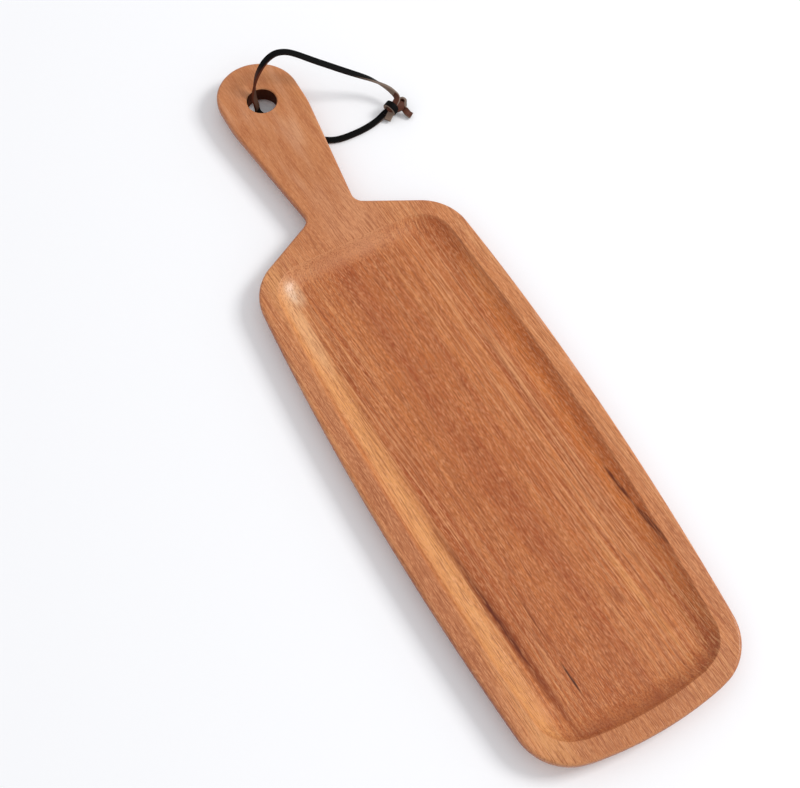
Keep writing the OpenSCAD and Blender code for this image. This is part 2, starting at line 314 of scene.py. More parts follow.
# %% Half outlines of the board and of the tray
HEAD_STEPS, BEND_STEPS, NECK_STEPS, CORNER_STEPS, TRAY_CORNER_STEPS = 44, 10, 16, 30, 26
REACH_SHARE = 0.8                      # the arc of a corner starts within this share of its radius
TRAY_TOP_REACH = TRAY_TOP_R + 1.0      # the near corners are nearly square, so their arcs reach further
NEAR_END_L, NEAR_END_STEP = 40, 3      # half of the tray's straight near end, and the gap of its points
SHOULDER_REACH, END_REACH, TRAY_END_REACH = (r * REACH_SHARE for r in (SHOULDER_R, END_R, TRAY_END_R))

head_turns = [(k + 0.5) / HEAD_STEPS * math.pi / 2 for k in range(HEAD_STEPS)]
board_half = rounded(
    [(HEAD_R * math.sin(a), HEAD_R * (1 - math.cos(a))) for a in head_turns]
    + [(HEAD_R, HEAD_R), (HEAD_R, HEAD_L, HEAD_BEND_R, BEND_STEPS)]
    + [(NECK_W / 2, HANDLE_L, NECK_R, NECK_STEPS), (SHOULDER_W / 2, SHOULDER_AT, SHOULDER_R, CORNER_STEPS)]
    + side(0, SHOULDER_AT, CORNER_AT, SHOULDER_REACH, END_REACH)
    + [(END_W / 2, CORNER_AT, END_R, CORNER_STEPS)]
    + far_end(END_W / 2, 0, END_REACH)
)
tray_half = rounded(
    [(x + 0.5, TRAY_AT) for x in range(0, NEAR_END_L, NEAR_END_STEP)]
    + [(side_x(TRAY_AT) - RIM_W, TRAY_AT, TRAY_TOP_R, TRAY_CORNER_STEPS)]
    + side(RIM_W, TRAY_AT, TRAY_END_AT, TRAY_TOP_REACH, TRAY_END_REACH)
    + [(side_x(TRAY_END_AT) - RIM_W, TRAY_END_AT, TRAY_END_R, TRAY_CORNER_STEPS)]
    + far_end(END_W / 2 - RIM_W, END_RIM_W, TRAY_END_REACH)
)
print("outline points:", 2 * len(board_half), "and", 2 * len(tray_half))

# %% [markdown]
# ## Whole outlines, drawn in
#
# Each level of the board is the same outline, drawn in by a little more or less, so that the edge stays
# even all round. Scaling the outline would be simpler, but it would draw a long board in more at its ends
# than at its sides. So every corner moves along its mitre, the line that halves its angle.

# %% Mirror an outline and draw it in
def whole(half):
    """Both halves of an outline, in the part's frame, where the handle's tip is at the far +Y end."""
    right = [Vector((p.x, LENGTH / 2 - p.y)) for p in half]
    return right + [Vector((-p.x, p.y)) for p in reversed(right)]


def inset(loop, by):
    """The outline drawn in by one amount all round."""
    ways = [(loop[(i + 1) % len(loop)] - loop[i]).normalized() for i in range(len(loop))]
    inward = [Vector((w.y, -w.x)) for w in ways]
    return [p + (inward[i - 1] + inward[i]) * (by / (1 + inward[i - 1].dot(inward[i])))
            for i, p in enumerate(loop)]


widest = max(p.x for p in whole(board_half))
print("widest half width, mm:", round(widest, 2), " drawn in by 5:",
      round(max(p.x for p in inset(whole(board_half), 5)), 2))

# %% [markdown]
# ## A solid from an outline and a profile
#
# The board could be an extruded outline with a bevelled edge, but its edge is a rounding above and a slant
# beneath. A loft joins level to level with four-sided faces, so it can follow any profile. Its top and its
# underside are closed with strips that run straight across, which keeps those two faces flat.

# %% Loft an outline through its levels
def loft(name, loop, rings, lift=lambda p, z: z):
    """A solid whose levels are the outline drawn in, as rings of (drawn in, height) from the top down."""
    mesh = bmesh.new()
    n = len(loop)
    levels = []
    for by, z in rings:
        levels.append([mesh.verts.new((p.x * MM, p.y * MM, lift(p, z) * MM)) for p in inset(loop, by)])
    for upper, lower in zip(levels, levels[1:]):
        for i in range(n):
            j = (i + 1) % n
            mesh.faces.new((upper[j], upper[i], lower[i], lower[j]))
    for level, flip in ((levels[0], False), (levels[-1], True)):
        for i in range(n // 2 - 1):
            strip = (level[i], level[n - 1 - i], level[n - 2 - i], level[i + 1])
            mesh.faces.new(strip[::-1] if flip else strip)
    bmesh.ops.recalc_face_normals(mesh, faces=mesh.faces)
    return new_object(name, stored(name, mesh))


print("a loft of the board has", 2 * len(board_half), "faces in each band round its edge")

# %% [markdown]
# ## Profiles of the edge and of the tray
#
# The top edge is rounded over with a small cutter, stays upright for a few millimetres, and then slants in
# beneath, so that fingers can get under the board. The tray is cut with a large cove bit, which leaves one
# sweeping curve from a softened lip to the floor. A row is (drawn in, height), and where it is a corner it
# also has a radius and the steps of its arc.

# %% Profiles
BAND_H, TOP_R, BEVEL_W, BEVEL_R, FOOT_R = 7.0, 2.5, 9.5, 5.0, 3.0
edge_rings = rounded([
    (BEVEL_W + FOOT_R, THICK), (0, THICK, TOP_R, 10), (0, THICK - BAND_H, BEVEL_R, 6),
    (BEVEL_W, 0, FOOT_R, 5), (BEVEL_W + FOOT_R, 0),
])

FLOOR_Z = THICK - TRAY_DEPTH
COVE_W = math.sqrt(TRAY_DEPTH * (2 * COVE_R - TRAY_DEPTH))
COVE_A = math.acos(1 - TRAY_DEPTH / COVE_R)
COVE_STEPS = 22
cove = [(COVE_W - COVE_R * math.sin(a), FLOOR_Z + COVE_R * (1 - math.cos(a)))
        for a in (COVE_A * (1 - k / COVE_STEPS) for k in range(COVE_STEPS + 1))]

OVER = 2.0        # how far a cutter stands past the wood, so that no faces share a plane
LIP_JOINS = 2     # the point of the cove that the lip's arc runs into
lip = rounded([(-2 * LIP_R, THICK), (0, THICK, LIP_R, 4), cove[LIP_JOINS]])
tray_rings = [(-LIP_R, THICK + OVER)] + lip[1:] + cove[LIP_JOINS + 1:]
print("edge levels:", len(edge_rings), " tray levels:", len(tray_rings))

# %% [markdown]
# ## The plank, sawn and relieved
#
# The outline and the edge profile make the plank. The underside of the handle is planed away a little, so
# that a hand can lift it and the lace can pass beneath. That relief runs out in a hollow ramp under the
# shoulders. A wedge could be cut away, but that would leave a sharp line round it. Here the points that lie
# too low are lifted, which keeps the rounded edge whole.

# %% Loft the plank
def relieved(p, z):
    """The height of a point, or of the relief above it."""
    past = (LENGTH / 2 - p.y - (HANDLE_L - NECK_R)) / RAMP_L
    return max(z, RELIEF_H * (1 - min(max(past, 0), 1) ** 2))


plank = loft("oak_board", whole(board_half), edge_rings, relieved)
print("plank:", len(plank.data.polygons), "faces before it is cut")

# %% [markdown]
# ## Cutters for the tray and the hole
#
# The tray's cutter is a loft of its own outline. The hole is bored with a 25 mm bit and its rims are
# broken with a countersink. A plain cylinder has no such rims, so this cutter is a profile turned on the
# hole's axis, as on a lathe.

# %% The two cutters
HOLE_STEPS = 96


def lathe(name, profile, middle):
    """A solid turned on an upright axis, from rows of (radius, height) in mm from the bottom up."""
    mesh = bmesh.new()
    turns = [2 * math.pi * k / HOLE_STEPS for k in range(HOLE_STEPS)]
    rings = [[mesh.verts.new((middle.x + r * MM * math.cos(a), middle.y + r * MM * math.sin(a), z * MM))
              for a in turns] for r, z in profile]
    for low, high in zip(rings, rings[1:]):
        for k in range(HOLE_STEPS):
            after = (k + 1) % HOLE_STEPS
            mesh.faces.new((low[k], low[after], high[after], high[k]))
    mesh.faces.new(rings[0][::-1])
    mesh.faces.new(rings[-1])
    return new_object(name, stored(name, mesh))


tray = loft("tray_cutter", whole(tray_half), tray_rings)
hole = lathe("hole_cutter", [
    (HOLE_R + HOLE_BEVEL + OVER, RELIEF_H - OVER), (HOLE_R, RELIEF_H + HOLE_BEVEL),
    (HOLE_R, THICK - HOLE_BEVEL), (HOLE_R + HOLE_BEVEL + OVER, THICK + OVER),
], Vector((0, HOLE_Y * MM, 0)))
print("cutters:", tray.name, "and", hole.name)

# %% [markdown]
# ## Cut the tray and the hole out of the plank
#
# A boolean modifier takes one solid out of another, as a router takes away wood. The tray could be joined
# to the plank's top by hand, but the two outlines have different points, and the modifier finds where they
# meet. Its result is kept as the plank's own mesh, and the cutters go.

# %% Cut the plank
def cut(piece, *cutters):
    """Take other solids out of a piece, and delete them."""
    for cutter in cutters:
        tool = piece.modifiers.new("cut", "BOOLEAN")
        tool.object = cutter
        tool.solver = "EXACT"
    evaluated = piece.evaluated_get(bpy.context.evaluated_depsgraph_get())
    data = bpy.data.meshes.new_from_object(evaluated)
    piece.modifiers.clear()
    piece.data = data
    for cutter in cutters:
        bpy.data.objects.remove(cutter)


cut(plank, tray, hole)
print("oak board:", len(plank.data.polygons), "faces")

# %% [markdown]
# ## Smooth curves and flat flats
#
# The cove and the rounded edges are shaded smooth, up to an angle that keeps the hole's rims crisp. Normals
# weighted by area keep the large flat faces flat beside them. The board then takes its CAD node's place.

# %% Shade the board and put it in the frame
CRISP_DEGREES = 35
FLATNESS = 80     # out of 100, how strongly a large face holds the shading
plank.data.shade_smooth()
plank.data.set_sharp_from_angle(angle=math.radians(CRISP_DEGREES))
weighted = plank.modifiers.new("weighted normals", "WEIGHTED_NORMAL")
weighted.keep_sharp = True
weighted.weight = FLATNESS

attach(plank, "board")
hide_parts("board")
print("oak board replaces the CAD node board")

# %% [markdown]
# ## Patterns in wood: noise along the grain
#
# A picture of wood wrapped round the board would stretch on the tray's wall and repeat. Noise in space does
# neither. The grain wanders, so the place in the wood is pushed about before anything is drawn with it.
# Noise stretched along the grain then gives lines, bands, pores and fibres, from the width, the length and
# the depth of one of them in millimetres.

# %% Wandering grain and stretched noise
def wandering(tree, place_mm, size_mm, shift_mm):
    """The place pushed about by slow noise, so that lines along the grain wander."""
    scaled = add(tree, "VectorMath", {0: place_mm, 1: size_mm}, operation="DIVIDE")
    drift = add(tree, "TexNoise", {"Vector": scaled, "Scale": 1.0, "Detail": 1.0}, out="Color")
    centred = add(tree, "VectorMath", {0: drift, 1: (0.5, 0.5, 0.5)}, operation="SUBTRACT")
    return add(tree, "VectorMath", {0: centred, 1: shift_mm, 2: place_mm}, operation="MULTIPLY_ADD")


def grains(tree, place_mm, size_mm, low, high, detail=1.0):
    """Where noise with grains of one size in mm rises from low to high."""
    scaled = add(tree, "VectorMath", {0: place_mm, 1: size_mm}, operation="DIVIDE")
    speckle = add(tree, "TexNoise", {"Vector": scaled, "Scale": 1.0, "Detail": detail})
    return add(tree, "MapRange", {"Value": speckle, "From Min": low, "From Max": high})


print("patterns: wandering grain and stretched noise")

# %% [markdown]
# ## Patterns in wood: marks and stains
#
# A long soft spot with a place of its own gives a mineral streak or a band that only this plank has. It
# could be painted on an unwrapped surface, but a spot in space needs no unwrapping and goes through the
# wood. Each pattern is laid over what is below it as a thin stain, which is how a colour in wood looks.

# %% Soft spots and stains
THROUGH = 1000.0     # mm, so that a spot goes right through the plank
SPOT_CORE = 0.35     # the share of a spot's size within which it is at full strength


def soft_spot(tree, place_mm, middle, half_size, lean):
    """A long soft spot, from its middle, its half width and half length in mm, and its lean."""
    inside = add(tree, "Mapping", {
        "Vector": place_mm, "Location": (*middle, 0.0), "Rotation": (0.0, 0.0, lean),
        "Scale": (*half_size, THROUGH),
    }, vector_type="TEXTURE")
    reach = add(tree, "VectorMath", {0: inside}, out="Value", operation="LENGTH")
    return add(tree, "MapRange", {"Value": reach, "From Min": 1.0, "From Max": SPOT_CORE},
               interpolation_type="SMOOTHSTEP")


def stain(tree, below, masks, strength, colour, way="MIX"):
    """Lay a colour over the one below it, where all the masks are, at a strength."""
    amount = strength
    for mask in masks:
        amount = add(tree, "Math", {0: mask, 1: amount}, operation="MULTIPLY")
    return add(tree, "Mix", {0: amount, 6: below, 7: linear(colour)}, out=2, data_type="RGBA",
               blend_type=way)


def with_marks(tree, tone, place_mm, marks):
    """Lay a list of long soft marks over a colour."""
    for row in marks:
        x, from_tip, half_width, half_length, lean, strength, colour = row[1:]
        spot = soft_spot(tree, place_mm, (x, LENGTH / 2 - from_tip), (half_width, half_length), lean)
        tone = stain(tree, tone, [spot], strength, colour)
    return tone


print("a soft spot is at full strength within", SPOT_CORE, "of its size")

# %% [markdown]
# ## Oiled red oak: where the grain runs
#
# The plank is oiled red oak, planed, routed and sanded. Its pattern is solid: it is worked out from the
# place in the wood, so that the tray's wall cuts through the same lines as its floor. The grain ripples on
# a fine scale, leans a little across the board, and wanders slowly.

# %% Oak: the wandering grain
RIPPLE_MM, RIPPLE_SHIFT = (9, 60, 9), (1.6, 0, 1.6)
WANDER_MM, WANDER_SHIFT = (45, 260, 45), (12, 0, 8)
LEAN = -0.05

oak, oak_tree, oak_shader = new_material("oiled_red_oak")
oak_place = add(oak_tree, "TexCoord", {}, out="Object")
oak_place = add(oak_tree, "VectorMath", {0: oak_place, 1: (1 / MM, 1 / MM, 1 / MM)}, operation="MULTIPLY")
figure_place = wandering(oak_tree, oak_place, RIPPLE_MM, RIPPLE_SHIFT)
grain = add(oak_tree, "Mapping", {"Vector": figure_place, "Rotation": (0.0, 0.0, LEAN)})
grain = wandering(oak_tree, grain, WANDER_MM, WANDER_SHIFT)
print("the grain leans", round(math.degrees(LEAN), 1), "degrees")

# %% [markdown]
# ## Oiled red oak: zones of the board
#
# The board is worked in different ways from place to place. Its flat top is planed and sanded, and so is
# the handle. The tray's near wall faces the soft box, and it is made paler as painted light, up to the
# deeper wood of the right corner. Surfaces that face along the board are cut across the grain, and its
# upright sides are sawn. Where they face the handle, away from the soft box, and where the sides stand in
# shade, their darkening is partly painted shade. A zone is told by a place in mm, or by the way that a
# surface faces, from -1 to 1, because that is what decided it in the workshop or under the lamp. A row says
# where a zone starts and where it is full.

# %% Oak: zones
figure_x = add(oak_tree, "SeparateXYZ", {0: figure_place})
oak_x, oak_y, oak_z = add(oak_tree, "SeparateXYZ", {0: oak_place}).node.outputs
facing = add(oak_tree, "TexCoord", {}, out="Normal")
facing = add(oak_tree, "SeparateXYZ", {0: facing}).node.outputs
ZONES = [
    ("straw band, left edge", figure_x, -81, -74),
    ("straw band, right edge", figure_x, -57, -66),
    ("planed top", oak_z, THICK - 2.5, THICK - 0.4),
    ("near wall, painted light", facing[1], -0.08, -0.5),
    ("clear of the right corner", oak_x, 66, 20),
    ("handle", oak_y, 120, 200),
    ("far rim", oak_y, -285, -305),
    ("cross-cut, partly painted shade", facing[1], 0.12, 0.9),
    ("sawn side, partly painted shade", facing[2], 0.6, 0.1),
]
zone = {}
for name, value, starts, full in ZONES:
    zone[name] = add(oak_tree, "MapRange", {"Value": value, "From Min": starts, "From Max": full})
print("zones:", list(zone))

# %% [markdown]
# ## Oiled red oak: heartwood colour
#
# The wood's own colour drifts between red-brown and tan in bands as wide as a finger and as long as the
# board, with narrower darker ones among them. It is the ground that everything else is laid on.

# %% Oak: broad bands of colour
BAND_MM, DARK_BAND_MM = (13, 420, 13), (6, 300, 6)
bands = grains(oak_tree, grain, BAND_MM, 0.36, 0.64, 2.0)
dark_bands = grains(oak_tree, grain, DARK_BAND_MM, 0.52, 0.68)
tone = add(oak_tree, "Mix", {0: bands, 6: linear("#ac5629"), 7: linear("#ca7840")}, out=2, data_type="RGBA")
tone = stain(oak_tree, tone, [dark_bands], 0.4, "#9c4f28")
print("bands of colour", BAND_MM[0], "and", DARK_BAND_MM[0], "mm wide")

# %% [markdown]
# ## Oiled red oak: year rings
#
# Oak is ring-porous: each year's growth starts with a band of open pores, the early wood, and ends with a
# dense smooth one. The rings lie at a slant in this plank and are of uneven width, where a wave texture
# would draw even stripes. So the distance across them is counted in years, noise moves it a little, and its
# fraction is the time of year.

# %% Oak: year rings
RING_MM, RING_SLANT = 3.1, 0.8
UNEVEN_MM, UNEVEN_YEARS = (14, 200, 14), 2.0
EARLY_WOOD = 0.45     # the share of a year in which the early wood fades out
ring_way = (1 / RING_MM, 0.0, RING_SLANT / RING_MM)
rings = add(oak_tree, "VectorMath", {0: grain, 1: ring_way}, out="Value", operation="DOT_PRODUCT")
uneven = grains(oak_tree, grain, UNEVEN_MM, 0.2, 0.8)
year = add(oak_tree, "Math", {0: uneven, 1: UNEVEN_YEARS, 2: rings}, operation="MULTIPLY_ADD")
year = add(oak_tree, "Math", {0: year}, operation="FRACT")
early = add(oak_tree, "MapRange", {"Value": year, "From Min": EARLY_WOOD, "From Max": 0.0})
tone = stain(oak_tree, tone, [early], 0.25, "#8f4720")
print("year rings", RING_MM, "mm apart")

# %% [markdown]
# ## Oiled red oak: long lines
#
# In the middle of a flat-sawn plank the saw runs along the rings, which leaves an even, finely flecked
# face. Towards its sides it cuts through them, which leaves long straight lines, so their share rises from
# the middle outwards. Their depth in the wood is drawn greater than their width, or the tray's sloping wall
# would cut them into dots.

# %% Oak: long lines, more of them towards the sides
MIDDLE_X = -8.0
EVEN_WITHIN, LINED_BEYOND = 20.0, 52.0     # mm from the middle of the face
MIDDLE_SHARE = 0.25
LINES = [
    ("broad tan lines", (4.5, 240, 12), 0.50, 0.62, 0.45, "#d68d56"),
    ("straw lines", (1.3, 100, 5), 0.52, 0.64, 0.6, "#e8aa74"),
    ("red-brown lines", (1.8, 90, 6), 0.54, 0.66, 0.65, "#8f421a"),
]

from_middle = add(oak_tree, "Math", {0: figure_x, 1: MIDDLE_X}, operation="SUBTRACT")
from_middle = add(oak_tree, "Math", {0: from_middle}, operation="ABSOLUTE")
outer = add(oak_tree, "MapRange", {
    "Value": from_middle, "From Min": EVEN_WITHIN, "From Max": LINED_BEYOND, "To Min": MIDDLE_SHARE,
})
for name, size_mm, low, high, strength, colour in LINES:
    lines = grains(oak_tree, grain, size_mm, low, high)
    tone = stain(oak_tree, tone, [lines, outer], strength, colour)
print("lines in the wood:", [row[0] for row in LINES])

# %% [markdown]
# ## Oiled red oak: bands with a place of their own
#
# One plank has its own face. This one has a straw-coloured band down its left side, red-brown wood beside
# it, warm wood in the right wall and paler bands towards the far end. Two pale spots in the near left
# corner are a painted highlight, for the soft box shining in the curve of the tray.
# Noise alone would not put them there, so each is a soft spot. A row has the middle of a band across the
# board and from the tip of the handle, its half width and half length, its lean, how strong it is and its
# colour.

# %% Oak: this plank's own bands
BANDS = [
    ("warm wood in the right wall", 72, 400, 13, 230, 0.0, 0.6, "#de803a"),
    ("red-brown wood beside the streak", -53, 535, 6, 120, 0.06, 0.55, "#94481f"),
    ("red-brown wood in the left rim", -87, 450, 9, 240, 0.0, 0.9, "#9c4c2a"),
    ("red-brown wood in the right wall", 77, 430, 7, 200, 0.0, 0.5, "#ba5a22"),
    ("deep wood in the near right corner", 70, 226, 13, 46, 0.0, 0.55, "#b65c26"),
    ("pale band", 41, 545, 4, 80, 0.1, 0.35, "#dc9450"),
    ("second pale band", 57, 545, 5, 75, 0.08, 0.25, "#dc9450"),
    ("fine pale line", 9, 250, 1.2, 55, 0.0, 0.3, "#dda878"),
    ("pale wood at the neck", 8, 178, 34, 38, 0.0, 0.4, "#e0a37c"),
    ("pale figure in the handle", 9, 82, 9, 26, 0.06, 0.5, "#e6b692"),
    ("red-brown figure in the handle", 2, 124, 9, 17, 0.06, 0.6, "#a65a30"),
    ("red-brown wood by the handle's left side", -22, 75, 5, 34, 0.04, 0.4, "#b0622e"),
    ("red-brown wood in the far right rim", 85, 560, 8, 75, 0.0, 0.5, "#a85c36"),
    # painted highlight: the next two spots stand for the soft box's glow in the tray's near left corner
    ("painted highlight in the near left corner", -60, 216, 10, 18, 0.0, 0.5, "#f2cfa8"),
    ("brighter painted highlight in its middle", -62, 214, 5, 12, 0.0, 0.5, "#f6dcc0"),
    ("pale wood in the near left wall", -67, 250, 8, 60, 0.0, 0.4, "#f0c090"),
    ("pale patch on the right rim", 93, 330, 3, 13, 0.0, 0.5, "#dca486"),
    ("second pale patch", 94, 375, 3, 11, 0.0, 0.5, "#dca486"),
]

straw_band = [zone["straw band, left edge"], zone["straw band, right edge"]]
tone = stain(oak_tree, tone, straw_band, 0.7, "#e8a564")
tone = with_marks(oak_tree, tone, figure_place, BANDS)
print("bands in the wood:", [row[0] for row in BANDS])

# %% [markdown]
# ## Oiled red oak: paler and deeper zones
#
# Planed and sanded wood takes up least oil, so the flat top is paler than the routed tray. The near wall
# faces the soft box, and it is made paler as painted light. The handle is sanded and handled most. It is
# calmer and paler still, with a broad soft figure of red-brown and pale wood in place of fine lines. The
# rim at the far end is a little deeper.

# %% Oak: the planed top, the near wall, the handle and the far rim
HANDLE_FIGURE = [((7, 38, 7), 0.4, "#ac6034"), ((10, 52, 10), 0.3, "#e2ac86")]
tone = stain(oak_tree, tone, [zone["planed top"]], 0.42, "#d89564")
# painted light: the near wall is made paler because it faces the soft box
tone = stain(oak_tree, tone, [zone["near wall, painted light"], zone["clear of the right corner"]], 0.45, "#df9f70")
tone = stain(oak_tree, tone, [zone["handle"]], 0.45, "#c48252")
for size_mm, strength, colour in HANDLE_FIGURE:
    figure = grains(oak_tree, figure_place, size_mm, 0.46, 0.64, 2.0)
    tone = stain(oak_tree, tone, [figure, zone["handle"]], strength, colour)
tone = stain(oak_tree, tone, [zone["far rim"]], 0.35, "#b06e44")
print("the handle's figure is", [row[0][0] for row in HANDLE_FIGURE], "mm wide")

# %% [markdown]
# ## Oiled red oak: where pores and fibres show
#
# A cut along the grain turns each pore into a short dark dash, and a cut across the grain shows only its
# end. Sanding closes many pores on the planed top and in the handle, and straight-grained wood at the sides
# shows fewer. So each of these places has a share of the pores that stay open.

# %% Oak: shares of open pores
ACROSS_FACING = (0.1, 0.4)     # how far a surface faces along the board where the grain starts to be cut
LATE_SHARE, PLANED_SHARE, SIDE_SHARE, ACROSS_SHARE, HANDLE_SHARE = 0.65, 0.5, 0.45, 0.35, 0.5

open_grain = add(oak_tree, "MapRange", {
    "Value": zone["planed top"], "To Min": 1.0, "To Max": PLANED_SHARE,
})
open_grain = add(oak_tree, "MapRange", {"Value": outer, "To Min": open_grain, "To Max": SIDE_SHARE})
end_cut = add(oak_tree, "Math", {0: facing[1]}, operation="ABSOLUTE")
along_cut = add(oak_tree, "MapRange", {
    "Value": end_cut, "From Min": ACROSS_FACING[0], "From Max": ACROSS_FACING[1],
    "To Min": 1.0, "To Max": ACROSS_SHARE,
})
calm_handle = add(oak_tree, "MapRange", {"Value": zone["handle"], "To Min": 1.0, "To Max": HANDLE_SHARE})
along_cut = add(oak_tree, "Math", {0: along_cut, 1: calm_handle}, operation="MULTIPLY")
open_grain = add(oak_tree, "Math", {0: open_grain, 1: along_cut}, operation="MULTIPLY")
print("open pores on the planed top:", PLANED_SHARE, " in the handle:", HANDLE_SHARE)

# %% [markdown]
# ## Oiled red oak: pores and fibres
#
# The dashes are thickest in the early wood, and pale fibres stand between them. Some pores run on as long
# fine grooves. There are far too many to cut into the mesh, so they are noise in the colour and in the
# relief. A real pore is 0.2 to 0.3 mm across, too fine to show from a metre away, so the dashes are drawn
# about twice as wide.

# %% Oak: pores and fibres
PORE_MM, LONG_PORE_MM, FIBRE_MM = (0.5, 3.5, 0.8), (0.7, 22, 0.7), (0.5, 4.8, 0.8)
pores = grains(oak_tree, grain, PORE_MM, 0.52, 0.61)
long_pores = grains(oak_tree, grain, LONG_PORE_MM, 0.52, 0.66)
fibres = grains(oak_tree, grain, FIBRE_MM, 0.50, 0.62)
pore_share = add(oak_tree, "MapRange", {"Value": early, "To Min": LATE_SHARE})
pores = add(oak_tree, "Math", {0: pores, 1: pore_share}, operation="MULTIPLY")
pores_shown = add(oak_tree, "Math", {0: pores, 1: open_grain}, operation="MULTIPLY")
long_pores = add(oak_tree, "Math", {0: long_pores, 1: calm_handle}, operation="MULTIPLY")
tone = stain(oak_tree, tone, [fibres, along_cut], 0.5, "#e6a272")
tone = stain(oak_tree, tone, [long_pores], 0.5, "#8c431e")
tone = stain(oak_tree, tone, [pores_shown], 0.7, "#7c3816")
print("pores drawn", PORE_MM[0], "mm wide and", PORE_MM[1], "mm long")

# %% [markdown]
# ## Oiled red oak: mineral streaks
#
# Minerals drawn up by the tree leave a long dark red-brown streak beside the straw-coloured band, and two
# short ones in the right wall. A soft spot alone would look like a smear, so noise along the grain breaks
# them up, and they lie over the fibres. Their rows say what the rows of the bands say.

# %% Oak: mineral streaks
STREAK_MM, STREAK_LEAST = (1.4, 12, 1.4), 0.45
STREAKS = [
    ("mineral streak", -55.3, 520, 4.8, 114, 0.06, 0.75, "#803408"),
    ("its dark heart", -56.0, 512, 2.2, 64, 0.06, 0.85, "#5c1c00"),
    ("fine dark line", -34.5, 520, 0.8, 45, 0.04, 0.7, "#6a2a0c"),
    ("its dark end", -32.6, 575, 1.2, 18, 0.05, 0.9, "#3c1003"),
    ("streak in the right wall", 73, 470, 1.7, 24, 0.06, 0.85, "#5c1c00"),
    ("second streak in the right wall", 75.8, 508, 1.7, 26, 0.08, 0.9, "#521600"),
    ("small knotty mark", 26.7, 540, 5, 11, 0.0, 0.5, "#7e3616"),
]

uneven_streaks = grains(oak_tree, grain, STREAK_MM, 0.34, 0.56)
uneven_streaks = add(oak_tree, "MapRange", {"Value": uneven_streaks, "To Min": STREAK_LEAST})
marked = with_marks(oak_tree, tone, figure_place, STREAKS)
tone = add(oak_tree, "Mix", {0: uneven_streaks, 6: tone, 7: marked}, out=2, data_type="RGBA")
print("streaks:", [row[0] for row in STREAKS])

# %% [markdown]
# ## Oiled red oak: cross-cut surfaces and sawn edges, partly painted shade
#
# Where a surface turns across the grain, its open pores drink the oil and it goes deeper, and so do the
# sawn edges of the board. The darkening is laid only where a surface faces the handle, away from the soft
# box, and on the upright sides, which stand in shade, so it is partly painted shade. A colour that
# multiplies what is below it does what oil does: it darkens the wood and keeps its pattern.

# %% Oak: cross-cut surfaces and sawn edges, partly painted shade
# partly painted shade: only surfaces that face the handle, away from the soft box, are darkened
tone = stain(oak_tree, tone, [zone["cross-cut, partly painted shade"]], 0.38, "#a87050", way="MULTIPLY")
# partly painted shade: the upright sides are darkened for the shade that falls on them
tone = stain(oak_tree, tone, [zone["sawn side, partly painted shade"]], 0.5, "#b88660", way="MULTIPLY")
print("the colour of the oak takes", len(oak_tree.nodes), "nodes")

# %% [markdown]
# ## Oiled red oak: satin oil and the feel of the grain
#
# Oil soaks in and leaves a low satin gloss, a little sharper on the smooth fibres than in the pores. It is
# a dim gloss of the wood's own with a thin coat over it, because one strong gloss would turn the dark
# streaks grey. The pores are real grooves, so they also go into the bump, at a fraction of a millimetre.

# %% Oak: gloss and relief
OAK_IOR = 1.47
PORE_ROUGHNESS, FIBRE_ROUGHNESS = 0.42, 0.32
GROOVE_MM, SHORT_PORE_DEPTH = 0.25, 0.6     # a short pore is this share as deep as a long one
oak_gloss = add(oak_tree, "MapRange", {
    "Value": fibres, "To Min": PORE_ROUGHNESS, "To Max": FIBRE_ROUGHNESS,
})
oak_tree.links.new(oak_gloss, oak_shader.inputs["Roughness"])
grooves = add(oak_tree, "Math", {0: pores_shown, 1: SHORT_PORE_DEPTH, 2: long_pores},
              operation="MULTIPLY_ADD")
dress(oak_tree, oak_shader, tone, grooves, 0.3, GROOVE_MM, {
    "IOR": OAK_IOR, "Specular IOR Level": 0.25,
    "Coat Weight": 0.2, "Coat Roughness": 0.16, "Coat IOR": OAK_IOR,
}, invert=True)
print("material:", oak.name, "with IOR", OAK_IOR)

# %% [markdown]
# ## The wall of the bored hole
#
# A drill bit burnishes the wall of its hole and darkens it, and no oil is rubbed in there, so it is dull.
# Its black-brown colour is partly that burnish and partly painted shade, for the shadow that fills the
# hole.
# Fine rings stay where the bit's edge turned, about 0.4 mm apart. They could be modelled as grooves, but
# noise squeezed along the hole's axis gives them without a very fine mesh.

# %% Material: burnished wall of the hole, with painted shade
BIT_RING_MM, ALONG_RING_MM = 0.4, 8.0     # across a ring and along it
bored, bored_tree, bored_shader = new_material("burnished_bored_oak_painted_shade")
bored_place = add(bored_tree, "TexCoord", {}, out="Object")
bit_size = (ALONG_RING_MM * MM, ALONG_RING_MM * MM, BIT_RING_MM * MM)
bored_place = add(bored_tree, "VectorMath", {0: bored_place, 1: bit_size}, operation="DIVIDE")
bit_rings = add(bored_tree, "TexNoise", {"Vector": bored_place, "Scale": 1.0, "Detail": 2.0})
# partly painted shade: these near-black browns also stand for the shadow inside the hole
bored_tone_painted_shade = add(bored_tree, "Mix", {0: bit_rings, 6: linear("#331307"), 7: linear("#5a2711")}, out=2,
                 data_type="RGBA")
dress(bored_tree, bored_shader, bored_tone_painted_shade, bit_rings, 0.2, 0.1, {
    "Roughness": 0.75, "Specular IOR Level": 0.15,
})
print("material:", bored.name, "with rings", BIT_RING_MM, "mm apart")

# %% [markdown]
# ## Oak outside, burnished wood with painted shade inside the hole
#
# A separate tube could line the hole, but it would leave a seam. One mesh can show two materials, because
# each face holds the number of its material. The wall of the hole is found by its distance from the hole's
# axis, and its faces stand upright.

